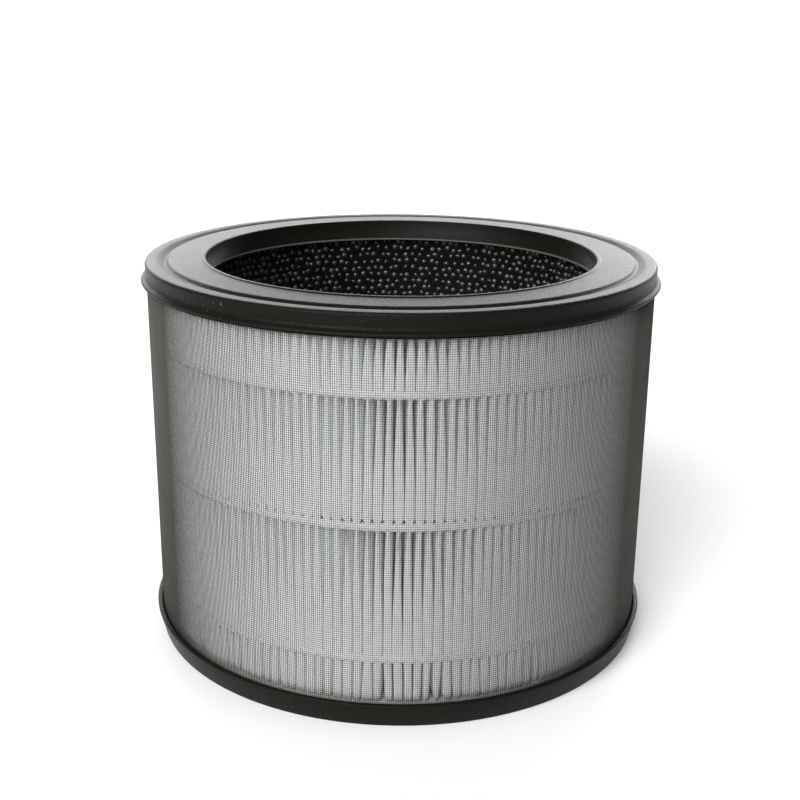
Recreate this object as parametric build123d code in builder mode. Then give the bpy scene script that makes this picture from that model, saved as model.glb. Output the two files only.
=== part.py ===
"""Round air purifier filter: pleated media and a carbon bed inside a mesh sleeve, between two moulded end caps."""

import os
from math import cos, degrees, pi, radians, sin, sqrt

from build123d import *

# The height, from the underside of the bottom tray to the flat of the top cap, and the bore through the middle
height = 142.0
bore_radius = 72.0

# Layers between the bore and the outside, each one's thickness, and the gap left where two of them meet
seat_gap = 0.2
net_recess = 0.8
strand_height = 0.3
net_wall = 0.6
bed_depth = 3.3
liner_wall = 0.7
bead_depth = 0.8
pleat_depth = 12.0
sleeve_wall = 0.6
ridge_height = 0.3

# Walls of both caps, the collar that lines the bore in each, and the gap between the sleeve and their rims
cap_wall = 1.6
collar_wall = 1.4
collar_depth = 7.8
rim_gap = 0.4

# How far a cutter for a gap in a wall reaches to either side of it
cutter_reach = 3.0

# Top cap: depths are measured down from its flat
edge_bead_width = 1.6
edge_bead_height = 0.4
flat_width = 11.2
step_run = 0.6
groove_depth = 1.5
groove_width = 1.0
shoulder_depth = 1.0
shoulder_chamfer = 1.2
flare_depth = 4.8
flare_height = 1.8
lip_wall = 1.5
lip_height = 1.1
rim_wall = 0.8
skirt_depth = 9.0
sleeve_seat_depth = 6.2
sleeve_seat_width = 1.5

# Bottom tray: heights are measured up from its underside
tray_depth = 8.8
tray_wall = 1.9
tray_draft = 2.5
tray_seat_height = 5.4
tray_seat_width = 2.0
tray_floor = 1.8
foot_chamfer = 0.8
rim_chamfer = 0.5

# Folded media: one sheet, folded this many times, with narrow open folds on the outside
pleat_count = 172
media_thickness = 0.45
pleat_gap = 1.0

# The soft layers and the glue lie in straight runs, each over this many folds
folds_per_run = 4

# Glue beads across the folds: one above the underside, one below the flat and one halfway up
bottom_bead_height = 23.7
top_bead_depth = 26.7
bead_width = 2.0

# Sleeve: a thin wall with raised threads up it, and bars of this width between its rows of gaps
gap_columns = 24
gap_rows = 4
sleeve_bar = 7.0
thread_width = 0.9

# Net over the carbon, seen from the bore: raised strands, and the least width left between its gaps
net_columns = 12
net_rows = 3
net_bar = 6.0
strand_width = 0.8
strands_per_column = 2

# Carbon bed: how deep the valleys between its rows of pellets are
pellet_relief = 1.4

# Radii that follow from the layers
net_inner = bore_radius + net_recess
net_wall_inner = net_inner + strand_height
net_outer = net_wall_inner + net_wall
bed_inner = net_outer + seat_gap
bed_outer = bed_inner + bed_depth
liner_inner = bed_outer + seat_gap
liner_outer = liner_inner + liner_wall
inner_bead_inner = liner_outer + seat_gap
inner_bead_outer = inner_bead_inner + bead_depth
media_inner = inner_bead_outer + seat_gap
media_outer = media_inner + pleat_depth
outer_bead_inner = media_outer + seat_gap
outer_bead_outer = outer_bead_inner + bead_depth
sleeve_inner = outer_bead_outer + seat_gap
sleeve_outer = sleeve_inner + sleeve_wall
ridge_outer = sleeve_outer + ridge_height
rim_inner = ridge_outer + rim_gap
collar_outer = bore_radius + collar_wall

# Heights that follow from the caps
layers_bottom = collar_depth
layers_top = height - collar_depth
layers_height = layers_top - layers_bottom
bead_heights = (bottom_bead_height, height / 2, height - top_bead_depth)

# Straight runs in one turn of a layer
run_count = pleat_count // folds_per_run


def runs(inner, outer):
    """The outline of a layer in straight runs, which stays between two circles."""
    RegularPolygon(outer, run_count, major_radius=True)
    RegularPolygon(inner, run_count, major_radius=False, mode=Mode.SUBTRACT)


def layer(inner, outer, bottom, top):
    """A plain layer about the bore's axis."""
    with BuildPart() as made:
        with BuildSketch(Plane.XY.offset(bottom)):
            runs(inner, outer)
        extrude(amount=top - bottom)
    return made.part


def write(part, label):
    """Names a finished piece and writes it."""
    part.label = label
    export_step(part, f"parts/{label}.step")


def polar(radius, angle):
    """The point at a radius and an angle in degrees."""
    return (radius * cos(radians(angle)), radius * sin(radians(angle)))


os.makedirs("parts", exist_ok=True)

# Top cap: a downward channel with a stepped top, a skirt that flares to a lip, and a collar down the bore
flat_end = bore_radius + edge_bead_width + flat_width
groove_start = flat_end + step_run
groove_end = groove_start + groove_width
shoulder_start = groove_end + groove_depth - shoulder_depth
skirt_inner = rim_inner - sleeve_seat_width
skirt_outer = skirt_inner + cap_wall
lip_outer = rim_inner + lip_wall
lip_bottom = flare_depth + flare_height + lip_height
channel_depth = groove_depth + cap_wall
with BuildPart() as top_cap:
    with BuildSketch(Plane((0, 0, height), x_dir=(1, 0, 0), z_dir=(0, -1, 0))):
        with BuildLine():
            Polyline(
                (bore_radius, -collar_depth),
                (bore_radius, edge_bead_height),
                (bore_radius + edge_bead_width, 0),
                (flat_end, 0),
                (groove_start, -groove_depth),
                (groove_end, -groove_depth),
                (shoulder_start, -shoulder_depth),
                (skirt_outer - shoulder_chamfer, -shoulder_depth),
                (skirt_outer, -shoulder_depth - shoulder_chamfer),
                (skirt_outer, -flare_depth),
                (lip_outer, -flare_depth - flare_height),
                (lip_outer, -lip_bottom),
                (rim_inner + rim_wall, -lip_bottom),
                (rim_inner + rim_wall, -skirt_depth),
                (rim_inner, -skirt_depth),
                (rim_inner, -sleeve_seat_depth),
                (skirt_inner, -sleeve_seat_depth),
                (skirt_inner, -channel_depth),
                (collar_outer, -channel_depth),
                (collar_outer, -collar_depth),
                close=True,
            )
        make_face()
    revolve(axis=Axis.Z)
write(top_cap.part, "top_cap")

# Bottom tray: an upward channel whose outer wall leans out to its rim, with a seat inside for the sleeve
tray_rim = rim_inner + tray_wall
tray_foot = tray_rim - tray_draft
tray_seat_inner = rim_inner - tray_seat_width
with BuildPart() as bottom_tray:
    with BuildSketch(Plane.XZ):
        with BuildLine():
            Polyline(
                (bore_radius, 0),
                (tray_foot - foot_chamfer, 0),
                (tray_foot, foot_chamfer),
                (tray_rim, tray_depth - rim_chamfer),
                (tray_rim - rim_chamfer, tray_depth),
                (rim_inner, tray_depth),
                (rim_inner, tray_seat_height),
                (tray_seat_inner, tray_seat_height),
                (tray_seat_inner, tray_floor),
                (collar_outer, tray_floor),
                (collar_outer, collar_depth),
                (bore_radius, collar_depth),
                close=True,
            )
        make_face()
    revolve(axis=Axis.Z)
write(bottom_tray.part, "bottom_tray")

# Potting: the adhesive that fills each channel and holds the ends of the layers
potting_inner = collar_outer + seat_gap
write(layer(potting_inner, skirt_inner - seat_gap, layers_top, height - channel_depth), "top_potting")
write(layer(potting_inner, tray_seat_inner - seat_gap, tray_floor, layers_bottom), "bottom_potting")

# Pleated media: one sheet folded to and fro, closed on itself, standing between the two beds of potting
pleat_angle = 360 / pleat_count
tip_angle = (pleat_angle - degrees(pleat_gap / media_outer)) / 2
hollow_angle = tip_angle - degrees(media_thickness / media_outer)
fold_angle = degrees(media_thickness / media_inner)
outside = []
inside = []
for pleat in range(pleat_count):
    middle = pleat * pleat_angle
    fold = middle + pleat_angle / 2
    outside.append(polar(media_outer, middle - tip_angle))
    outside.append(polar(media_outer, middle + tip_angle))
    outside.append(polar(media_inner + media_thickness, fold))
    inside.append(polar(media_outer - media_thickness, middle - hollow_angle))
    inside.append(polar(media_outer - media_thickness, middle + hollow_angle))
    inside.append(polar(media_inner, fold - fold_angle))
    inside.append(polar(media_inner, fold + fold_angle))
with BuildPart() as pleated_media:
    with BuildSketch(Plane.XY.offset(layers_bottom)):
        with BuildLine():
            Polyline(*outside, close=True)
        make_face()
        with BuildLine():
            Polyline(*inside, close=True)
        make_face(mode=Mode.SUBTRACT)
    extrude(amount=layers_height)
write(pleated_media.part, "pleated_media")

# Glue beads: thin bands that cross the tips of the folds and keep them apart, outside and inside the pleats
for number, middle in enumerate(bead_heights, start=1):
    bead_bottom = middle - bead_width / 2
    bead_top = middle + bead_width / 2
    write(layer(outer_bead_inner, outer_bead_outer, bead_bottom, bead_top), f"outer_glue_bead_{number}")
    write(layer(inner_bead_inner, inner_bead_outer, bead_bottom, bead_top), f"inner_glue_bead_{number}")

# Carbon bed: upright rows of pellets that face the bore, with a plain liner between it and the pleats
row_angle = 360 / run_count
pellet_rows = []
for row in range(run_count):
    pellet_rows.append(polar(bed_inner, row * row_angle))
    pellet_rows.append(polar(bed_inner + pellet_relief, (row + 0.5) * row_angle))
with BuildPart() as carbon_bed:
    with BuildSketch(Plane.XY.offset(layers_bottom)):
        RegularPolygon(bed_outer, run_count, major_radius=True)
        with BuildLine():
            Polyline(*pellet_rows, close=True)
        make_face(mode=Mode.SUBTRACT)
    extrude(amount=layers_height)
write(carbon_bed.part, "carbon_bed")
write(layer(liner_inner, liner_outer, layers_bottom, layers_top), "carbon_liner")

# Bore net: a thin wall with raised strands up it and rows of diamond gaps, which holds the carbon in
net_row_pitch = layers_height / net_rows
net_column_pitch = 2 * pi * net_outer / net_columns
net_opening = (min(net_row_pitch, net_column_pitch) - net_bar) / sqrt(2)
with BuildPart() as bore_net:
    with BuildSketch(Plane.XY.offset(layers_bottom)):
        runs(net_wall_inner, net_outer)
        with PolarLocations(net_wall_inner, strands_per_column * net_columns):
            Rectangle(2 * strand_height, strand_width)
    extrude(amount=layers_height)
    for row in range(net_rows):
        with Locations((0, 0, layers_bottom + net_row_pitch * (row + 0.5))):
            with PolarLocations(net_outer, net_columns):
                Box(2 * cutter_reach, net_opening, net_opening, rotation=(45, 0, 0), mode=Mode.SUBTRACT)
write(bore_net.part, "bore_net")

# Mesh sleeve: a thin wall with raised threads up it and gaps between them
sleeve_bottom = tray_seat_height
sleeve_top = height - sleeve_seat_depth
row_pitch = (height - skirt_depth - tray_depth) / gap_rows
opening_height = row_pitch - sleeve_bar
opening_width = 2 * pi * sleeve_outer / gap_columns - sleeve_bar
with BuildPart() as mesh_sleeve:
    with BuildSketch(Plane.XY.offset(sleeve_bottom)):
        runs(sleeve_inner, sleeve_outer)
        with PolarLocations(sleeve_outer, gap_columns):
            Rectangle(2 * ridge_height, thread_width)
    extrude(amount=sleeve_top - sleeve_bottom)
    for row in range(gap_rows):
        with Locations((0, 0, tray_depth + row_pitch * (row + 0.5))):
            with PolarLocations(sleeve_outer, gap_columns, start_angle=180 / gap_columns):
                Box(2 * cutter_reach, opening_width, opening_height, mode=Mode.SUBTRACT)
write(mesh_sleeve.part, "mesh_sleeve")
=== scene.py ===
"""Round air purifier filter: moulded caps, a woven sleeve, glued pleats and a carbon bed."""
import logging
import math
import random
from abc import ABC, abstractmethod
from dataclasses import dataclass
from enum import Enum
from typing import Any, Callable, Optional, Sequence, Union

import bmesh
import bpy
from mathutils import Matrix, Vector


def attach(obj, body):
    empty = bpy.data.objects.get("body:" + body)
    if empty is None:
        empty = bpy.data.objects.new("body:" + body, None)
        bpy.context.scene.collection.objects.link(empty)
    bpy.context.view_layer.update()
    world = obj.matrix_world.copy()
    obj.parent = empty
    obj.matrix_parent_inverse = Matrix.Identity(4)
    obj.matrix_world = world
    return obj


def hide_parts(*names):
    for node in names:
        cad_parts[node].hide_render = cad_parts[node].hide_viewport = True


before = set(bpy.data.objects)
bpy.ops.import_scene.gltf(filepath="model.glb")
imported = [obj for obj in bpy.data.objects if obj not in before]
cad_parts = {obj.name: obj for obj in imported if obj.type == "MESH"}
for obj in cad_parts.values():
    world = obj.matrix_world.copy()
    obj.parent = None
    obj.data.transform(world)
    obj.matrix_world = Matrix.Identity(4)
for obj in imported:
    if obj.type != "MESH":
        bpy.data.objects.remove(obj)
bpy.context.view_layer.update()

MILLIMETRE = 0.001
NEAR = 1e-6
LEAST_SEGMENTS = 2
SEGMENTS_PER_MILLIMETRE = 3
LOG = logging.getLogger("filter")

Number = Union[float, "Wire"]
Triple = tuple[float, float, float]
Colour = Triple
ColumnPlace = Callable[[int], Vector]


class Slot(Enum):
    """The record's material slots, which are passed with the new pieces but not used."""

    PLASTIC = "cap_plastic"
    MEDIA = "media"
    GLUE = "glue"
    CARBON = "carbon"
    NET = "net"
    MESH = "mesh"


class Wire:
    """One value in a node tree, on which arithmetic adds Math nodes."""

    def __init__(self, sheet: "NodeSheet", socket: bpy.types.NodeSocket) -> None:
        """Holds a socket and the tree that it is in."""
        self.sheet = sheet
        self.socket = socket

    def _math(self, operation: str, first: Number, second: Number) -> "Wire":
        """Adds a Math node on two values and returns its result."""
        return self.sheet.add("ShaderNodeMath", {0: first, 1: second}, {"operation": operation})

    def __add__(self, other: Number) -> "Wire":
        """This value plus another."""
        return self._math("ADD", self, other)

    __radd__ = __add__

    def __mul__(self, other: Number) -> "Wire":
        """This value times another."""
        return self._math("MULTIPLY", self, other)

    __rmul__ = __mul__

    def above(self, low: float, high: float) -> "Wire":
        """How far this value has risen from low to high, from 0 to 1, eased at both ends."""
        inputs = {"Value": self, "From Min": low, "From Max": high}
        return self.sheet.add("ShaderNodeMapRange", inputs, {"interpolation_type": "SMOOTHSTEP"})


class NodeSheet:
    """The node tree of a material, or of the surroundings, under construction."""

    def __init__(self, owner: Union[bpy.types.Material, bpy.types.World]) -> None:
        """Starts with an empty tree.

        Args:
            owner: What the tree belongs to.
        """
        self.owner = owner
        self.owner.use_nodes = True
        self.tree = self.owner.node_tree
        self.tree.nodes.clear()

    def add(
        self,
        kind: str,
        inputs: Optional[dict[Union[int, str], Any]] = None,
        settings: Optional[dict[str, Any]] = None,
        output: Union[int, str] = 0,
    ) -> Wire:
        """Adds a node of any kind.

        Args:
            kind: The node's type.
            inputs: Values or wires for its sockets, by name or place.
            settings: Its properties, which are set before its sockets.
            output: The socket that the result is read from.

        Returns:
            The chosen output.
        """
        node = self.tree.nodes.new(kind)
        for name, value in (settings or {}).items():
            setattr(node, name, value)
        for key, value in (inputs or {}).items():
            socket = node.inputs[key]
            if isinstance(value, Wire):
                self.tree.links.new(value.socket, socket)
            else:
                socket.default_value = value
        return Wire(self, node.outputs[output])

    def place(self) -> Wire:
        """The point's place on the object, in metres."""
        return self.add("ShaderNodeTexCoord", output="Object")

    def noise(self, scale: float, detail: float, stretch: Triple = (1.0, 1.0, 1.0)) -> Wire:
        """Smooth noise from 0 to 1.

        Args:
            scale: Features in a metre.
            detail: Octaves of finer noise.
            stretch: How much each axis is drawn together.

        Returns:
            The noise's value.
        """
        where = self.add("ShaderNodeMapping", {"Vector": self.place(), "Scale": stretch})
        return self.add("ShaderNodeTexNoise", {"Vector": where, "Scale": scale, "Detail": detail})

    def blend(self, share: Number, first: Any, second: Any) -> Wire:
        """Mixes two colours.

        Args:
            share: How much of the second shows.
            first: A colour or a wire.
            second: A colour or a wire.

        Returns:
            The mixed colour.
        """
        ends = [value if isinstance(value, Wire) else (*value, 1.0) for value in (first, second)]
        inputs = {0: share, 6: ends[0], 7: ends[1]}
        return self.add("ShaderNodeMix", inputs, {"data_type": "RGBA"}, output=2)

    def bump(self, height: Wire, depth: float) -> Wire:
        """Turns a height into a normal.

        Args:
            height: The height, from 0 to 1.
            depth: The depth of the relief, in metres.

        Returns:
            The normal.
        """
        return self.add("ShaderNodeBump", {"Height": height, "Distance": depth, "Strength": 1.0})

    def close(self, kind: str, surface: Wire) -> None:
        """Adds the tree's output, of the given type, and leads the surface to it."""
        end = self.tree.nodes.new(kind)
        self.tree.links.new(surface.socket, end.inputs["Surface"])

    def finish(self, **sockets: Any) -> bpy.types.Material:
        """Adds the surface shader and closes the material.

        Args:
            sockets: The shader's sockets, with an underscore for each space.

        Returns:
            The finished material.
        """
        inputs = {name.replace("_", " "): value for name, value in sockets.items()}
        self.close("ShaderNodeOutputMaterial", self.add("ShaderNodeBsdfPrincipled", inputs))
        return self.owner


class Finish(ABC):
    """A surface finish, made once and then shared."""

    name: str

    @abstractmethod
    def paint(self, sheet: NodeSheet) -> bpy.types.Material:
        """Lays out the material's nodes on an empty sheet and returns the material."""

    def material(self) -> bpy.types.Material:
        """The finish's material, which is made when it is first asked for."""
        made = bpy.data.materials.get(self.name)
        return made or self.paint(NodeSheet(bpy.data.materials.new(self.name)))


@dataclass(frozen=True)
class SparkedPlastic(Finish):
    """Charcoal plastic from a spark-eroded mould, with a little dust in its texture."""

    name: str = "sparked_plastic"
    dark: Colour = (0.0030, 0.0029, 0.0021)
    light: Colour = (0.0088, 0.0084, 0.0062)
    dust: Colour = (0.17, 0.165, 0.15)
    dust_share: float = 0.6
    speck_scale: float = 700.0
    speck_range: tuple[float, float] = (0.795, 0.83)
    dusty_scale: float = 25.0
    dusty_range: tuple[float, float] = (0.52, 0.7)
    grain_scale: float = 1500.0
    grain_depth: float = 0.00028
    grain_share: float = 0.6
    drift_scale: float = 40.0
    drift_share: float = 0.4
    roughness: float = 0.25
    grain_roughness: float = 0.14
    drift_roughness: float = 0.05
    refraction: float = 1.17

    def paint(self, sheet: NodeSheet) -> bpy.types.Material:
        """Lays out the material's nodes."""
        grain = sheet.noise(self.grain_scale, 3.0)
        drift = sheet.noise(self.drift_scale, 3.0)
        specks = sheet.noise(self.speck_scale, 0.0).above(*self.speck_range)
        dusty = sheet.noise(self.dusty_scale, 1.0).above(*self.dusty_range)
        mottle = grain * self.grain_share + drift * self.drift_share
        tint = sheet.blend(mottle, self.dark, self.light)
        return sheet.finish(
            Base_Color=sheet.blend(specks * dusty * self.dust_share, tint, self.dust),
            Roughness=self.roughness + drift * self.drift_roughness + grain * self.grain_roughness,
            Normal=sheet.bump(grain, self.grain_depth),
            IOR=self.refraction,
        )


@dataclass(frozen=True)
class FibrePaper(Finish):
    """White bonded fibre paper."""

    name: str = "fibre_paper"
    shade: Colour = (0.69, 0.71, 0.72)
    light: Colour = (0.78, 0.795, 0.80)
    fibre_scale: float = 900.0
    fibre_depth: float = 0.00008
    fibre_stretch: Triple = (1.0, 1.0, 0.35)
    fibre_share: float = 0.5
    cloud_scale: float = 60.0
    cloud_share: float = 0.5
    roughness: float = 0.82
    fibre_roughness: float = 0.12

    def paint(self, sheet: NodeSheet) -> bpy.types.Material:
        """Lays out the material's nodes."""
        fibre = sheet.noise(self.fibre_scale, 4.0, self.fibre_stretch)
        cloud = sheet.noise(self.cloud_scale, 3.0)
        mottle = fibre * self.fibre_share + cloud * self.cloud_share
        return sheet.finish(
            Base_Color=sheet.blend(mottle, self.shade, self.light),
            Roughness=self.roughness + fibre * self.fibre_roughness,
            Normal=sheet.bump(fibre, self.fibre_depth),
        )


@dataclass(frozen=True)
class HotMelt(Finish):
    """Milky hot-melt glue, set with a soft shine."""

    name: str = "hot_melt"
    clear: Colour = (0.67, 0.69, 0.70)
    milky: Colour = (0.74, 0.755, 0.76)
    flow_scale: float = 260.0
    flow_depth: float = 0.0002
    roughness: float = 0.34
    flow_roughness: float = 0.2

    def paint(self, sheet: NodeSheet) -> bpy.types.Material:
        """Lays out the material's nodes."""
        flow = sheet.noise(self.flow_scale, 2.0)
        return sheet.finish(
            Base_Color=sheet.blend(flow, self.clear, self.milky),
            Roughness=self.roughness + flow * self.flow_roughness,
            Normal=sheet.bump(flow, self.flow_depth),
        )


@dataclass(frozen=True)
class CarbonGrain(Finish):
    """Black activated carbon with a graphite shine on its rounded ends."""

    name: str = "carbon_grain"
    black: Colour = (0.006, 0.0058, 0.0042)
    graphite: Colour = (0.032, 0.030, 0.022)
    pit_scale: float = 2600.0
    pit_depth: float = 0.00007
    batch_scale: float = 190.0
    roughness: float = 0.34
    pit_roughness: float = 0.22
    refraction: float = 2.5

    def paint(self, sheet: NodeSheet) -> bpy.types.Material:
        """Lays out the material's nodes."""
        pits = sheet.noise(self.pit_scale, 3.0)
        batch = sheet.noise(self.batch_scale, 1.0)
        return sheet.finish(
            Base_Color=sheet.blend(batch, self.black, self.graphite),
            Roughness=self.roughness + pits * self.pit_roughness,
            Normal=sheet.bump(pits, self.pit_depth),
            IOR=self.refraction,
        )


@dataclass(frozen=True)
class Thread(Finish):
    """Dark drawn thread with a little twist."""

    name: str = "sleeve_thread"
    dark: Colour = (0.038, 0.037, 0.031)
    light: Colour = (0.088, 0.086, 0.076)
    run_scale: float = 120.0
    run_share: float = 0.6
    twist_scale: float = 3500.0
    twist_share: float = 0.4
    twist_depth: float = 0.00003
    roughness: float = 0.5
    run_roughness: float = 0.12
    refraction: float = 1.3

    def paint(self, sheet: NodeSheet) -> bpy.types.Material:
        """Lays out the material's nodes."""
        run = sheet.noise(self.run_scale, 3.0)
        twist = sheet.noise(self.twist_scale, 1.0)
        mottle = run * self.run_share + twist * self.twist_share
        return sheet.finish(
            Base_Color=sheet.blend(mottle, self.dark, self.light),
            Roughness=self.roughness + run * self.run_roughness,
            Normal=sheet.bump(twist, self.twist_depth),
            IOR=self.refraction,
        )


@dataclass(frozen=True)
class SetAdhesive(Finish):
    """Off-white adhesive that was poured and levelled itself."""

    name: str = "set_adhesive"
    cream: Colour = (0.62, 0.60, 0.54)
    white: Colour = (0.74, 0.73, 0.68)
    ripple_scale: float = 90.0
    ripple_depth: float = 0.0003
    roughness: float = 0.38
    ripple_roughness: float = 0.15

    def paint(self, sheet: NodeSheet) -> bpy.types.Material:
        """Lays out the material's nodes."""
        ripple = sheet.noise(self.ripple_scale, 2.0)
        return sheet.finish(
            Base_Color=sheet.blend(ripple, self.cream, self.white),
            Roughness=self.roughness + ripple * self.ripple_roughness,
            Normal=sheet.bump(ripple, self.ripple_depth),
        )


@dataclass(frozen=True)
class NonWoven(Finish):
    """Thin white non-woven cloth with pressed points."""

    name: str = "non_woven"
    shade: Colour = (0.60, 0.60, 0.58)
    light: Colour = (0.80, 0.80, 0.78)
    fibre_scale: float = 1100.0
    fibre_share: float = 0.5
    point_scale: float = 900.0
    point_range: tuple[float, float] = (0.1, 0.4)
    point_share: float = 0.5
    relief_depth: float = 0.0001
    roughness: float = 0.8
    fibre_roughness: float = 0.1

    def paint(self, sheet: NodeSheet) -> bpy.types.Material:
        """Lays out the material's nodes."""
        fibre = sheet.noise(self.fibre_scale, 4.0)
        spacing = {"Vector": sheet.place(), "Scale": self.point_scale}
        points = sheet.add("ShaderNodeTexVoronoi", spacing, output="Distance")
        pressed = points.above(*self.point_range)
        relief = fibre * self.fibre_share + pressed * self.point_share
        return sheet.finish(
            Base_Color=sheet.blend(relief, self.shade, self.light),
            Roughness=self.roughness + fibre * self.fibre_roughness,
            Normal=sheet.bump(relief, self.relief_depth),
        )


@dataclass(frozen=True)
class StudioFloor(Finish):
    """Plain pale floor."""

    name: str = "studio_floor"
    tone: Colour = (0.955, 0.96, 0.965)
    roughness: float = 0.9

    def paint(self, sheet: NodeSheet) -> bpy.types.Material:
        """Lays out the material's nodes."""
        return sheet.finish(Base_Color=(*self.tone, 1.0), Roughness=self.roughness)


def publish(
    shape: bmesh.types.BMesh, name: str, finish: Finish, slot: Slot, stands_for: Sequence[str]
) -> None:
    """Turns a finished shape in millimetres into a smooth piece of the filter.

    Args:
        shape: The shape, which is freed.
        name: The piece's name.
        finish: Its surface.
        slot: The record's slot that the finish belongs to; not used.
        stands_for: The model's nodes that it replaces.
    """
    bmesh.ops.scale(shape, vec=(MILLIMETRE,) * 3, verts=shape.verts[:])
    mesh = bpy.data.meshes.new(name)
    shape.to_mesh(mesh)
    shape.free()
    for face in mesh.polygons:
        face.use_smooth = True
    mesh.materials.append(finish.material())
    piece = bpy.data.objects.new(name, mesh)
    bpy.context.scene.collection.objects.link(piece)
    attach(piece, "root")
    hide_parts(*stands_for)
    mesh.calc_loop_triangles()
    LOG.info("%s: %d triangles", name, len(mesh.loop_triangles))


def dress(node: str, finish: Finish) -> None:
    """Gives one of the model's own solids its finish.

    Args:
        node: The node's name.
        finish: Its surface.
    """
    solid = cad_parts[node]
    solid.data.materials.clear()
    solid.data.materials.append(finish.material())
    LOG.info("%s: dressed", node)


def lathe(corners: Sequence[Triple], steps: int = 240) -> bmesh.types.BMesh:
    """Turns a closed profile about the bore's axis.

    Args:
        corners: Radius, height and rounding of each corner, in millimetres.
        steps: Steps in one turn.

    Returns:
        The closed shell.
    """
    shell = bmesh.new()
    points = [shell.verts.new((radius, 0.0, height)) for radius, height, _ in corners]
    shell.faces.new(points)
    for point, (_, _, rounding) in zip(points, corners):
        if rounding:
            bmesh.ops.bevel(
                shell,
                geom=[point],
                offset=rounding,
                offset_type="OFFSET",
                segments=LEAST_SEGMENTS + round(rounding * SEGMENTS_PER_MILLIMETRE),
                profile=0.5,
                affect="VERTICES",
                material=-1,
            )
    bmesh.ops.delete(shell, geom=shell.faces[:], context="FACES_ONLY")
    bmesh.ops.spin(
        shell,
        geom=shell.verts[:] + shell.edges[:],
        cent=(0.0, 0.0, 0.0),
        axis=(0.0, 0.0, 1.0),
        angle=math.tau,
        steps=steps,
        use_merge=True,
    )
    bmesh.ops.recalc_face_normals(shell, faces=shell.faces[:])
    return shell


class RingLoft:
    """A shell drawn out ring by ring from one circle, whose points keep their column's number."""

    def __init__(self, columns: int, place: ColumnPlace) -> None:
        """Makes the first ring.

        Args:
            columns: Points in a ring.
            place: Where the first ring's point in a column goes.
        """
        self.shape = bmesh.new()
        self.column = self.shape.verts.layers.int.new("column")
        first = bmesh.ops.create_circle(self.shape, segments=columns, radius=1.0)["verts"]
        for number, point in enumerate(first):
            point[self.column] = number
            point.co = place(number)
        self.first = self.shape.edges[:]
        self.last = self.first

    def draw(self, place: ColumnPlace) -> None:
        """Draws the last ring out into a new one.

        Args:
            place: Where the new ring's point in a column goes.
        """
        drawn = bmesh.ops.extrude_edge_only(self.shape, edges=self.last)["geom"]
        points = {item for item in drawn if isinstance(item, bmesh.types.BMVert)}
        edges = [item for item in drawn if isinstance(item, bmesh.types.BMEdge)]
        self.last = [edge for edge in edges if points.issuperset(edge.verts)]
        for point in points:
            point.co = place(point[self.column])

    def close(self) -> bmesh.types.BMesh:
        """Joins the last ring to the first, so that the shell is closed, and returns the shape."""
        bmesh.ops.bridge_loops(self.shape, edges=self.first + self.last)
        bmesh.ops.recalc_face_normals(self.shape, faces=self.shape.faces[:])
        return self.shape


def around(radius: float, turn: float, height: float) -> Vector:
    """The point at a radius, an angle in radians and a height."""
    return Vector((radius * math.cos(turn), radius * math.sin(turn), height))


@dataclass
class Layers:
    """Radii and heights that the pieces share, in millimetres, as on the model's solids."""

    height: float = 142.0
    bore: float = 72.0
    net: float = 72.8
    bed_inner: float = 73.9
    bed_outer: float = 77.2
    media_inner: float = 79.3
    media_outer: float = 91.3
    sleeve_outer: float = 93.4
    rim: float = 93.8
    collar_depth: float = 7.8
    collar_wall: float = 1.4
    glue_heights: tuple[float, float, float] = (23.7, 71.0, 115.3)

    @property
    def bottom(self) -> float:
        """Where the layers leave the tray's adhesive."""
        return self.collar_depth

    @property
    def top(self) -> float:
        """Where the layers enter the cap's adhesive."""
        return self.height - self.collar_depth


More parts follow.
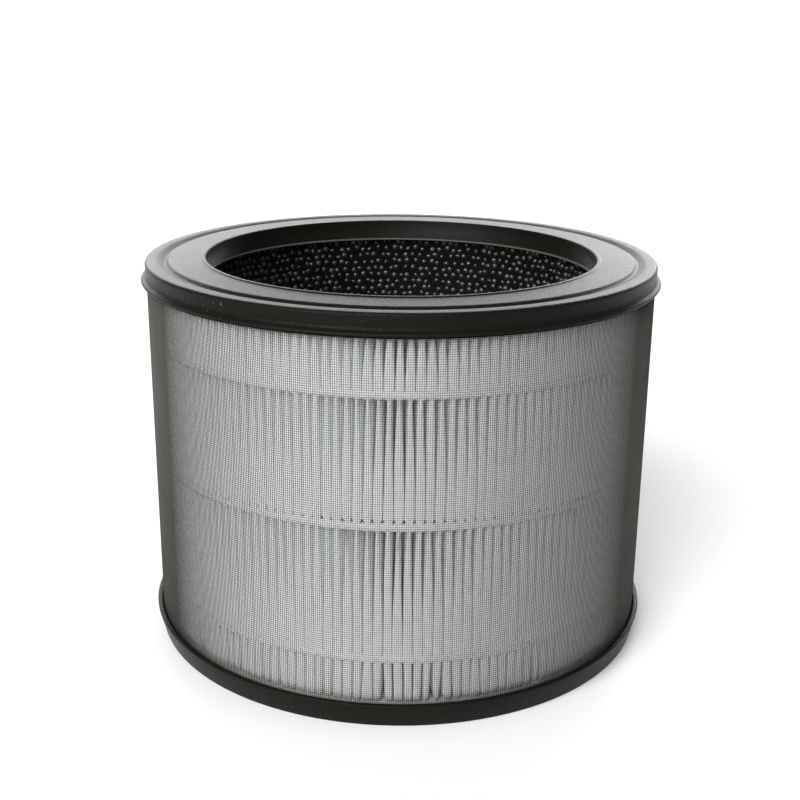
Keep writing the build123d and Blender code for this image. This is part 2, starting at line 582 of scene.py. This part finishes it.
@dataclass
class Caps:
    """The moulded end caps and the adhesive in their channels, in millimetres.

    The groove fields shape the valley between the flat and the shoulder, the flare and neck fields
    the skirt that falls from the shoulder to the lip, and the edge fields the band at the collar's
    lower edge, whose lighter colour is a painted highlight.
    """

    layers: Layers
    wall: float = 1.6
    bead_width: float = 1.2
    bead_height: float = 0.4
    flat_end: float = 85.2
    groove_slope: float = 1.2
    groove_width: float = 0.6
    groove_depth: float = 1.0
    groove_rise: float = 2.2
    shoulder_depth: float = 0.1
    flare_depth: float = 5.4
    flare_height: float = 1.0
    neck: float = 0.3
    lip_wall: float = 1.6
    lip_height: float = 0.9
    lip_groove: float = 0.4
    rim_wall: float = 0.6
    skirt_depth: float = 8.0
    seat_depth: float = 5.8
    seat_width: float = 1.5
    collar_bead: float = 0.3
    collar_bead_height: float = 0.3
    collar_bead_slope: float = 0.4
    edge_width: float = 0.6
    edge_height: float = 0.8
    edge_lap: float = 0.05
    # lighter plastic for the collar's edge band: a painted highlight
    edge_highlight_dark: Colour = (0.060, 0.059, 0.053)
    edge_highlight_light: Colour = (0.095, 0.093, 0.084)
    tray_depth: float = 8.8
    tray_wall: float = 1.9
    tray_draft: float = 2.2
    tray_seat_height: float = 5.4
    tray_seat_width: float = 2.0
    tray_floor: float = 1.8

    def top(self) -> None:
        """Builds the top cap: collar, bead, flat, valley, shoulder, neck, lip and rim."""
        size = self.layers
        top, bore, rim = size.height, size.bore, size.rim
        skirt = rim - self.seat_width
        outer = skirt + self.wall
        lip = rim + self.lip_wall
        groove_end = self.flat_end + self.groove_slope + self.groove_width
        lip_bottom = top - self.flare_depth - self.flare_height - self.lip_height
        collar_bottom = top - size.collar_depth
        channel = top - self.groove_depth - self.wall
        bead_top = collar_bottom + self.collar_bead_height
        corners = [
            (bore - self.collar_bead, collar_bottom, 0.2),
            (bore - self.collar_bead, bead_top, 0.2),
            (bore, bead_top + self.collar_bead * self.collar_bead_slope, 0.0),
            (bore, top + self.bead_height, 0.5),
            (bore + self.bead_width, top + self.bead_height, 0.3),
            (bore + self.bead_width + self.bead_height, top, 0.2),
            (self.flat_end, top, 0.5),
            (self.flat_end + self.groove_slope, top - self.groove_depth, 0.4),
            (groove_end, top - self.groove_depth, 0.2),
            (groove_end + self.groove_rise, top - self.shoulder_depth, 0.8),
            (outer, top - self.shoulder_depth, 1.2),
            (outer - self.neck, top - self.flare_depth, 0.8),
            (lip, top - self.flare_depth - self.flare_height, 0.4),
            (lip, lip_bottom, 0.5),
            (rim + self.lip_groove, lip_bottom, 0.0),
            (rim + self.lip_groove, lip_bottom - self.lip_groove, 0.0),
            (rim + self.rim_wall, lip_bottom - self.lip_groove, 0.15),
            (rim + self.rim_wall, top - self.skirt_depth, 0.2),
            (rim, top - self.skirt_depth, 0.0),
            (rim, top - self.seat_depth, 0.0),
            (skirt, top - self.seat_depth, 0.0),
            (skirt, channel, 0.0),
            (bore + size.collar_wall, channel, 0.0),
            (bore + size.collar_wall, collar_bottom, 0.0),
        ]
        publish(lathe(corners), "cap_moulding", SparkedPlastic(), Slot.PLASTIC, ["top_cap"])
        self.collar_edge(collar_bottom)

    def collar_edge(self, bottom: float) -> None:
        """Builds the band that ends the top cap's collar, in lighter plastic as a painted
        highlight.

        Args:
            bottom: The collar's lower end.
        """
        outer = self.layers.bore + self.edge_lap
        inner = outer - self.edge_width
        corners = [
            (inner, bottom - self.edge_lap, 0.15),
            (outer, bottom - self.edge_lap, 0.0),
            (outer, bottom + self.edge_height, 0.0),
            (inner, bottom + self.edge_height / 2, 0.2),
        ]
        # the edge band's lighter plastic is a painted highlight along the collar's lower edge
        finish = SparkedPlastic("painted_highlight_edge", self.edge_highlight_dark, self.edge_highlight_light)
        publish(lathe(corners), "collar_edge", finish, Slot.PLASTIC, ["top_cap"])

    def tray(self) -> None:
        """Builds the bottom tray: foot, leaning wall, rounded rim, sleeve seat and collar."""
        size = self.layers
        rim = size.rim
        outer = rim + self.tray_wall
        seat = rim - self.tray_seat_width
        corners = [
            (size.bore, 0.0, 0.5),
            (outer - self.tray_draft, 0.0, 0.5),
            (outer, self.tray_depth, 0.7),
            (rim, self.tray_depth, 0.3),
            (rim, self.tray_seat_height, 0.0),
            (seat, self.tray_seat_height, 0.0),
            (seat, self.tray_floor, 0.0),
            (size.bore + size.collar_wall, self.tray_floor, 0.0),
            (size.bore + size.collar_wall, size.collar_depth, 0.0),
            (size.bore, size.collar_depth, 0.4),
        ]
        publish(lathe(corners), "tray_moulding", SparkedPlastic(), Slot.PLASTIC, ["bottom_tray"])

    def build(self) -> None:
        """Builds both caps and dresses their adhesive."""
        self.top()
        self.tray()
        dress("top_potting", SetAdhesive())
        dress("bottom_potting", SetAdhesive())


def upright_threads(
    radius: float, width: float, depth: float, bottom: float, top: float, count: int
) -> bmesh.types.BMesh:
    """Stands straight threads in a ring.

    Args:
        radius: Distance of their middles from the bore's axis.
        width: Their width round the ring.
        depth: Their depth towards the axis.
        bottom: Where they start.
        top: Where they end.
        count: How many there are.

    Returns:
        The shape, in millimetres as the rest.
    """
    shape = bmesh.new()
    middle = Matrix.Translation((radius, 0.0, (bottom + top) / 2))
    size = Matrix.Diagonal((depth, width, top - bottom, 1.0))
    bmesh.ops.create_cube(shape, size=1.0, matrix=middle @ size)
    bmesh.ops.spin(
        shape,
        geom=shape.verts[:] + shape.edges[:] + shape.faces[:],
        cent=(0.0, 0.0, 0.0),
        axis=(0.0, 0.0, 1.0),
        angle=math.tau * (1 - 1 / count),
        steps=count - 1,
        use_duplicate=True,
    )
    return shape


def ring_threads(
    radius: float, width: float, bottom: float, top: float, pitch: float, steps: int
) -> bmesh.types.BMesh:
    """Stacks rings of thread.

    Args:
        radius: Distance of their middles from the bore's axis.
        width: Their width.
        bottom: The underside of the first.
        top: Where the last one stays below.
        pitch: The distance from one to the next.
        steps: Steps in one ring.

    Returns:
        The shape.
    """
    half = width / 2
    shape = bmesh.new()
    square = [(-half, -half), (half, -half), (half, half), (-half, half)]
    points = [shape.verts.new((radius + x, 0.0, bottom + half + z)) for x, z in square]
    shape.faces.new(points)
    bmesh.ops.delete(shape, geom=shape.faces[:], context="FACES_ONLY")
    bmesh.ops.spin(
        shape,
        geom=shape.verts[:] + shape.edges[:],
        cent=(0.0, 0.0, 0.0),
        axis=(0.0, 0.0, 1.0),
        angle=math.tau,
        steps=steps,
        use_merge=True,
    )
    bmesh.ops.recalc_face_normals(shape, faces=shape.faces[:])
    bmesh.ops.spin(
        shape,
        geom=shape.verts[:] + shape.edges[:] + shape.faces[:],
        cent=(0.0, 0.0, 0.0),
        axis=(0.0, 0.0, 1.0),
        dvec=(0.0, 0.0, pitch),
        angle=0.0,
        steps=int((top - bottom - width) / pitch),
        use_duplicate=True,
    )
    return shape


@dataclass
class Sleeve:
    """The woven sleeve, in millimetres: straight threads up it and rings of thread round it."""

    layers: Layers
    bottom: float = 5.6
    top: float = 135.6
    warp_count: int = 826
    warp_width: float = 0.10
    warp_depth: float = 0.21
    weft_pitch: float = 0.765
    weft_width: float = 0.10
    ring_steps: int = 120

    def build(self) -> None:
        """Builds both sets of threads."""
        middle = self.layers.sleeve_outer - self.warp_depth / 2
        bars = upright_threads(
            middle, self.warp_width, self.warp_depth, self.bottom, self.top, self.warp_count
        )
        publish(bars, "sleeve_warp", Thread(), Slot.MESH, ["mesh_sleeve"])
        rings = ring_threads(
            middle, self.weft_width, self.bottom, self.top, self.weft_pitch, self.ring_steps
        )
        publish(rings, "sleeve_weft", Thread(), Slot.MESH, ["mesh_sleeve"])


@dataclass
class PleatPack:
    """The folded media, its glue lines and the liner behind it, in millimetres and radians.

    A slot is the gap between two folds. The front fields say where slots are pulled open most, the
    foot fields how they run below the lowest glue line, and the fold and brow fields how the
    crests beside them are rounded.
    """

    layers: Layers
    pleats: int = 172
    slot_wide: float = 1.55
    slot_narrow: float = 0.10
    slot_uneven: float = 0.28
    front: float = 1.49 * math.pi
    front_spread: float = 0.24
    front_gap: float = 0.65
    taper: float = 2.2
    foot_wide: float = 0.45
    foot_fall: float = 0.25
    foot_lean: float = 0.6
    foot_splay: float = 0.1
    foot_uneven: float = 0.9
    lean: float = 0.16
    lean_length: float = 63.0
    fold_points: int = 8
    fold_drop: float = 0.5
    fold_reach: float = 0.8
    fold_full: float = 0.9
    fold_least: float = 0.25
    fold_clear: float = 0.85
    brow_drop: float = 0.3
    brow_reach: float = 0.4
    root_fold: float = 0.25
    lining: float = 0.1
    level_step: float = 2.9
    glue_height: float = 2.6
    glue_proud: float = 0.45
    glue_root: float = 1.6
    glue_lap: float = 0.1
    glue_flank: tuple[float, float] = (0.75, 0.6)
    glue_columns: int = 8
    meniscus: float = 1.3
    meniscus_wide: float = 0.25
    seed: int = 11

    def __post_init__(self) -> None:
        """Draws each slot's own width and lean, and how it leans and splays at its foot."""
        chance = random.Random(self.seed)
        uneven, slots = self.slot_uneven, range(self.pleats)
        self.width = [self.strain(number) + chance.uniform(-uneven, uneven) for number in slots]
        self.phase = [chance.uniform(0, math.tau) for _ in slots]
        self.spread = [chance.uniform(-1, 1) for _ in slots]
        self.opened = [max(0.0, chance.gauss(self.foot_splay, self.foot_uneven)) for _ in slots]

    def strain(self, number: int) -> float:
        """How far a slot is pulled open, which is most where the sheet was closed, at the front."""
        off = (math.tau * (number + 0.5) / self.pleats - self.front) / self.front_spread
        return 1 + self.front_gap * math.exp(-off * off)

    def slot(self, number: int, height: float) -> tuple[float, float]:
        """The slot between two pleats at a height.

        Args:
            number: Which slot.
            height: The height, in millimetres.

        Returns:
            Its sideways shift and its width, in millimetres.
        """
        marks = [self.layers.bottom, *self.layers.glue_heights, self.layers.top]
        above = next(mark for mark in marks[1:] if height <= mark + NEAR)
        below = max(mark for mark in marks[:-1] if mark <= height - NEAR or mark == marks[0])
        share = (above - height) / (above - below)
        sway = math.sin(math.tau * height / self.lean_length + self.phase[number]) * self.lean
        if below == marks[0]:
            narrowed = self.slot_wide * (self.foot_wide - self.foot_fall * share)
            width = narrowed + self.opened[number] * share
            return sway + self.spread[number] * self.foot_lean * share, max(width, self.slot_narrow)
        width = self.slot_narrow + (self.slot_wide - self.slot_narrow) * (1 - share) ** self.taper
        return sway, width * self.width[number]

    def _surface(self, height: float) -> ColumnPlace:
        """Lays out the media's outer face at a height.

        Args:
            height: The height, in millimetres.

        Returns:
            Where the face's point in a column goes, eight columns to a slot.
        """
        size = self.layers
        pitch = math.tau / self.pleats

        def place(column: int) -> Vector:
            """Where the face's point in a column goes."""
            number, part = divmod(column, self.fold_points)
            shift, width = self.slot(number, height)
            middle = (number + 0.5) * pitch + shift / size.media_outer
            half = width / 2
            share = min(1.0, max(self.fold_least, width / self.fold_full))
            drop = self.fold_drop * share
            room = (pitch * size.media_outer / 2 - half) * self.fold_clear
            reach = min(self.fold_reach * share, room)
            brow = size.media_outer - drop * self.brow_drop
            bend = self.root_fold * width / self.slot_wide
            radius, off = (
                (size.media_outer, -half - reach),
                (brow, -half - reach * self.brow_reach),
                (size.media_outer - drop, -half),
                (size.media_inner + self.root_fold, -bend),
                (size.media_inner + self.root_fold, bend),
                (size.media_outer - drop, half),
                (brow, half + reach * self.brow_reach),
                (size.media_outer, half + reach),
            )[part]
            return around(radius, middle + off / radius, height)

        return place

    def _lining(self, height: float) -> ColumnPlace:
        """Where the plain inner face runs at a height, as a function of the column."""
        return lambda column: around(
            self.layers.media_inner - self.lining,
            math.tau * (column + 0.5) / self.fold_points / self.pleats,
            height,
        )

    def media(self) -> None:
        """Builds the folded media."""
        size = self.layers
        levels = round((size.top - size.bottom) / self.level_step)
        loft = RingLoft(self.pleats * self.fold_points, self._surface(size.bottom))
        for level in range(1, levels + 1):
            loft.draw(self._surface(size.bottom + (size.top - size.bottom) * level / levels))
        loft.draw(self._lining(size.top))
        loft.draw(self._lining(size.bottom))
        publish(loft.close(), "folded_media", FibrePaper(), Slot.MEDIA, ["pleated_media"])

    def glue_line(self, number: int, middle: float) -> None:
        """Builds one glue line, whose lower edge arches over each slot.

        Args:
            number: The line's number, from the bottom.
            middle: Its height.
        """
        size = self.layers
        columns = self.pleats * self.glue_columns
        pitch = math.tau / self.pleats
        half = self.glue_height / 2
        share, rise = self.glue_flank
        rows = [
            (size.media_outer - self.glue_root, -1.0),
            (size.media_outer - self.glue_lap, -1.0),
            (size.media_outer + self.glue_proud * share, -rise),
            (size.media_outer + self.glue_proud, 0.0),
            (size.media_outer + self.glue_proud * share, rise),
            (size.media_outer - self.glue_lap, 1.0),
            (size.media_outer - self.glue_root, 1.0),
        ]

        def row(radius: float, level: float) -> ColumnPlace:
            """Lays out one row of the line's points.

            Args:
                radius: The row's radius.
                level: How high it runs, from -1 at the line's foot to 1 at its top.

            Returns:
                Where the row's point in a column goes.
            """

            def place(column: int) -> Vector:
                """Where the row's point in a column goes."""
                turn = math.tau * column / columns
                across = (turn / pitch) % 1.0 - 0.5
                shift, width = self.slot(int(turn / pitch) % self.pleats, middle - half)
                reach = width / 2 + self.meniscus_wide
                off = abs(across * pitch * size.media_outer - shift) / reach
                hangs = level < 0 and off < 1
                drop = self.meniscus * (1 - math.sqrt(1 - off * off)) if hangs else 0.0
                return around(radius, turn, middle + level * half - drop)

            return place

        loft = RingLoft(columns, row(*rows[0]))
        for radius, level in rows[1:]:
            loft.draw(row(radius, level))
        name, solid = f"glue_line_{number}", f"outer_glue_bead_{number}"
        publish(loft.close(), name, HotMelt(), Slot.GLUE, [solid])

    def build(self) -> None:
        """Builds the media and its glue, and dresses what lies behind it."""
        self.media()
        for number, middle in enumerate(self.layers.glue_heights, start=1):
            self.glue_line(number, middle)
            dress(f"inner_glue_bead_{number}", HotMelt())
        dress("carbon_liner", NonWoven())


@dataclass
class CarbonBed:
    """One layer of carbon grains on a dark core, behind a fine net, in millimetres."""

    layers: Layers
    rows: int = 44
    patch_columns: int = 12
    patches: int = 12
    grain: float = 1.62
    grain_least: float = 0.75
    grain_flattest: float = 0.65
    jitter: float = 0.75
    jitter_upright: float = 0.8
    core_steps: int = 120
    # the core's colours, darker than the grains' own black: painted shade between the grains
    core_painted_shade_dark: Colour = (0.001, 0.001, 0.001)
    core_painted_shade_light: Colour = (0.004, 0.004, 0.003)
    core_refraction: float = 1.1
    net_count: int = 640
    net_pitch: float = 0.74
    net_thread: float = 0.08
    net_cross: float = 0.7
    net_steps: int = 60
    net_dark: Colour = (0.004, 0.004, 0.0035)
    net_light: Colour = (0.010, 0.010, 0.009)
    net_refraction: float = 1.2
    seed: int = 5

    def grains(self) -> None:
        """Builds the grains as one patch, repeated round the bore."""
        size = self.layers
        chance = random.Random(self.seed)
        shape = bmesh.new()
        step = math.tau / (self.patch_columns * self.patches)
        rise = (size.top - size.bottom) / self.rows
        for row in range(self.rows):
            for column in range(self.patch_columns):
                stray = chance.uniform(-1, 1) * self.jitter / size.bed_inner
                turn = (column + (row % 2) / 2) * step + stray
                stray = chance.uniform(-1, 1) * self.jitter * self.jitter_upright
                height = size.bottom + (row + 0.5) * rise + stray
                radius = size.bed_inner + self.grain + chance.uniform(0, 1) * self.jitter
                spot = Matrix.Translation(around(radius, turn, height))
                twist, lean = chance.uniform(0, math.tau), chance.random()
                tilt = Matrix.Rotation(twist, 4, Vector((1, lean, 1)))
                swell = Matrix.Diagonal((1.0, 1.0, chance.uniform(self.grain_flattest, 1.0), 1.0))
                grain = self.grain * chance.uniform(self.grain_least, 1.0)
                bmesh.ops.create_icosphere(
                    shape, subdivisions=1, radius=grain, matrix=spot @ tilt @ swell
                )
        bmesh.ops.spin(
            shape,
            geom=shape.verts[:] + shape.edges[:] + shape.faces[:],
            cent=(0.0, 0.0, 0.0),
            axis=(0.0, 0.0, 1.0),
            angle=math.tau * (1 - 1 / self.patches),
            steps=self.patches - 1,
            use_duplicate=True,
        )
        publish(shape, "carbon_grains", CarbonGrain(), Slot.CARBON, ["carbon_bed"])

    def core(self) -> None:
        """Builds the deeper grains as one ring, nearly black as painted shade in the gaps between
        the grains.
        """
        size = self.layers
        inner = size.bed_inner + self.grain
        corners = [
            (inner, size.bottom, 0.0),
            (size.bed_outer, size.bottom, 0.0),
            (size.bed_outer, size.top, 0.0),
            (inner, size.top, 0.0),
        ]
        # the core is darker than the grains as painted shade in the gaps between them
        finish = CarbonGrain(
            "carbon_depth", self.core_painted_shade_dark, self.core_painted_shade_light, refraction=self.core_refraction
        )
        core = lathe(corners, self.core_steps)
        publish(core, "carbon_core", finish, Slot.CARBON, ["carbon_bed"])

    def net(self) -> None:
        """Builds the net's threads, up the bore and round it."""
        size, thread = self.layers, self.net_thread
        finish = Thread(
            "net_thread", self.net_dark, self.net_light, refraction=self.net_refraction
        )
        middle = size.net + thread / 2
        bars = upright_threads(middle, thread, thread, size.bottom, size.top, self.net_count)
        publish(bars, "net_warp", finish, Slot.NET, ["bore_net"])
        behind = middle + thread * self.net_cross
        rings = ring_threads(
            behind, thread, size.bottom, size.top, self.net_pitch, self.net_steps
        )
        publish(rings, "net_weft", finish, Slot.NET, ["bore_net"])

    def build(self) -> None:
        """Builds the grains, the core and the net."""
        self.grains()
        self.core()
        self.net()


@dataclass(frozen=True)
class Lamp:
    """A square soft lamp: its name, its power in watts and where it hangs, in metres."""

    name: str
    power: float
    spot: Triple


@dataclass(frozen=True)
class Glow:
    """A part of the surroundings that brightens along an axis, from start to full."""

    axis: str
    start: float
    full: float
    strength: float


@dataclass
class Studio:
    """The floor, the light and the camera, in metres, degrees and millimetres of lens."""

    eye: Triple = (0.00004, -0.4468, 0.22787)
    pitch_down: float = 17.77
    roll: float = 0.57
    lens: float = 54.6
    warm: Colour = (1.0, 0.998, 0.99)
    cool: Colour = (0.97, 0.985, 1.0)
    key_strength: float = 4.0
    key_spread: float = 45.0
    key_side: Triple = (-2.8, -4.8, 3.6)
    lamp_size: float = 0.6
    lamp_aim: Triple = (0.0, 0.0, 0.07)
    lamps: tuple[Lamp, ...] = (
        Lamp("back_left", 4.5, (-0.7, 1.8, 0.7)),
        Lamp("back_right", 8.0, (0.75, 1.8, 0.7)),
    )
    glows: tuple[Glow, ...] = (
        Glow("Z", -0.05, 1.0, 0.58),
        Glow("Z", 0.2, -0.02, 0.75),
        Glow("Y", 0.7, 0.96, 3.1),
    )
    floor_size: float = 60.0

    def floor(self) -> None:
        """Lays the floor under the filter."""
        shape = bmesh.new()
        bmesh.ops.create_grid(shape, x_segments=8, y_segments=8, size=self.floor_size)
        mesh = bpy.data.meshes.new("floor")
        shape.to_mesh(mesh)
        shape.free()
        mesh.materials.append(StudioFloor().material())
        floor = bpy.data.objects.new("floor", mesh)
        bpy.context.scene.collection.objects.link(floor)

    def hang(self, light: bpy.types.Light, colour: Colour, place: Matrix) -> None:
        """Hangs a light in the scene.

        Args:
            light: The light.
            colour: Its colour.
            place: Where it hangs and how it is turned.
        """
        light.color = colour
        lamp = bpy.data.objects.new(light.name, light)
        lamp.matrix_world = place
        bpy.context.scene.collection.objects.link(lamp)

    def key(self) -> None:
        """Hangs the key light, a wide sun that stays even over the whole floor."""
        light = bpy.data.lights.new("key", "SUN")
        light.energy = self.key_strength
        light.angle = math.radians(self.key_spread)
        turn = Vector(self.key_side).to_track_quat("Z", "Y").to_matrix().to_4x4()
        self.hang(light, self.warm, turn)

    def back_lamps(self) -> None:
        """Hangs the soft lamps behind the filter."""
        for lamp in self.lamps:
            light = bpy.data.lights.new(lamp.name, "AREA")
            light.energy = lamp.power
            light.size = self.lamp_size
            spot = Vector(lamp.spot)
            turn = (Vector(self.lamp_aim) - spot).to_track_quat("-Z", "Y").to_matrix().to_4x4()
            self.hang(light, self.cool, Matrix.Translation(spot) @ turn)

    def surroundings(self) -> None:
        """Sets the light tent, which brightens overhead, at the horizon and at the back."""
        world = bpy.data.worlds.new("surroundings")
        sheet = NodeSheet(world)
        way = sheet.add("ShaderNodeTexCoord", output="Generated")
        total: Number = 0.0
        for glow in self.glows:
            along = sheet.add("ShaderNodeSeparateXYZ", {0: way}, output=glow.axis)
            range_ends = {"From Min": glow.start, "From Max": glow.full, "To Max": glow.strength}
            total = total + sheet.add("ShaderNodeMapRange", {"Value": along, **range_ends})
        tent = sheet.add("ShaderNodeBackground", {"Color": (*self.cool, 1.0), "Strength": total})
        sheet.close("ShaderNodeOutputWorld", tent)
        bpy.context.scene.world = world

    def camera(self) -> None:
        """Sets up the camera where the photograph was taken from."""
        data = bpy.data.cameras.new("camera")
        data.sensor_width = 36.0
        data.lens = self.lens
        data.clip_start = 0.01
        camera = bpy.data.objects.new("camera", data)
        tip = Matrix.Rotation(math.radians(90 - self.pitch_down), 4, "X")
        roll = Matrix.Rotation(math.radians(self.roll), 4, "Z")
        camera.matrix_world = Matrix.Translation(self.eye) @ tip @ roll
        bpy.context.scene.collection.objects.link(camera)
        bpy.context.scene.camera = camera

    def build(self) -> None:
        """Sets up the floor, the light, the camera and the picture's tones."""
        self.floor()
        self.key()
        self.back_lamps()
        self.surroundings()
        self.camera()
        bpy.context.scene.view_settings.view_transform = "Standard"


def main() -> None:
    """Builds the filter's sub-assemblies and the studio."""
    logging.basicConfig(level=logging.INFO, format="%(message)s")
    layers = Layers()
    for assembly in (Caps(layers), Sleeve(layers), PleatPack(layers), CarbonBed(layers), Studio()):
        LOG.info("building %s", type(assembly).__name__)
        assembly.build()


if __name__ == "__main__":
    main()
